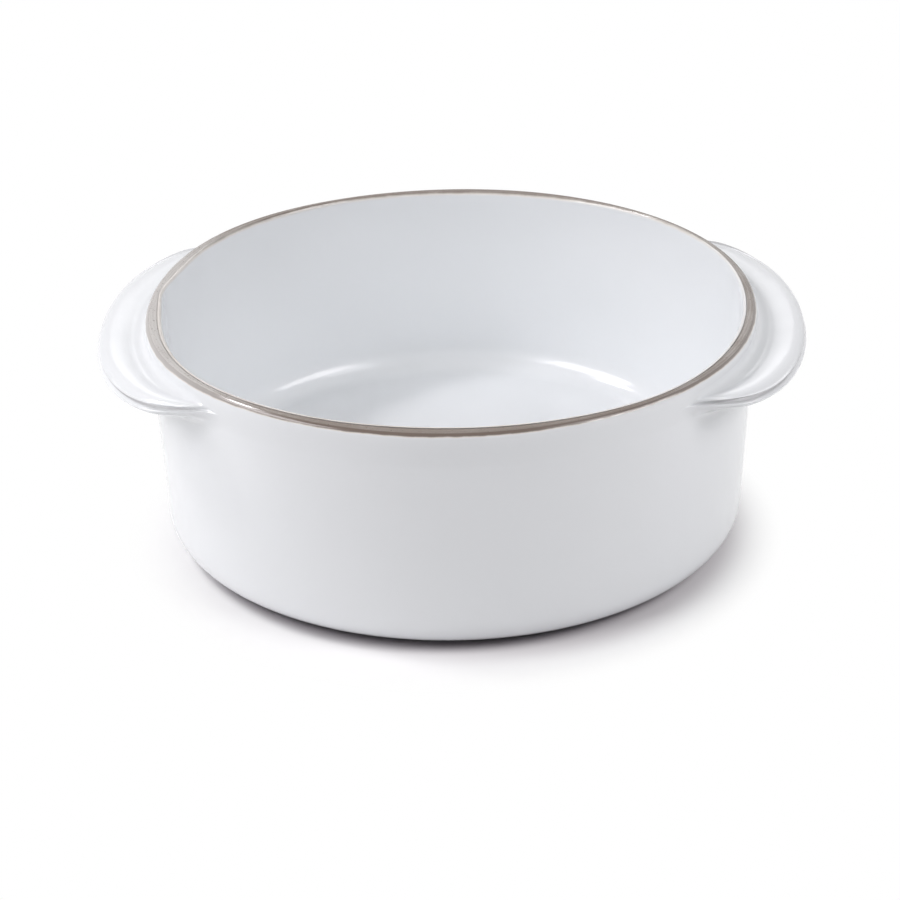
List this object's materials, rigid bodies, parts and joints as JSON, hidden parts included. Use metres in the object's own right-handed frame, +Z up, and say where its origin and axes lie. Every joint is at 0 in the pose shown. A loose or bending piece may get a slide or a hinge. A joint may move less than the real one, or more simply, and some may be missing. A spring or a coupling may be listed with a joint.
{
  "type": "casserole dish",
  "caption": "Round open stoneware casserole dish: white glaze inside and outside, bare clay rim, solid ledge handles on opposite sides and a bare foot ring to stand on.",
  "frame": {"origin": "on the table, under the middle of the dish, in the plane of the foot ring", "axes": "+Z up out of the dish, +X through the right handle, +Y away from the viewer"},
  "size_m": [0.2782, 0.24, 0.093],
  "materials": {
    "bare_stoneware": "unglazed, fine grained, matt",
    "white_glaze": "glossy white glaze"
  },
  "bodies": {
    "root": {"clay_pot": "bare_stoneware", "left_handle": "bare_stoneware", "right_handle": "bare_stoneware", "inner_glaze": "white_glaze", "outer_glaze": "white_glaze"}
  },
  "joints": []
}
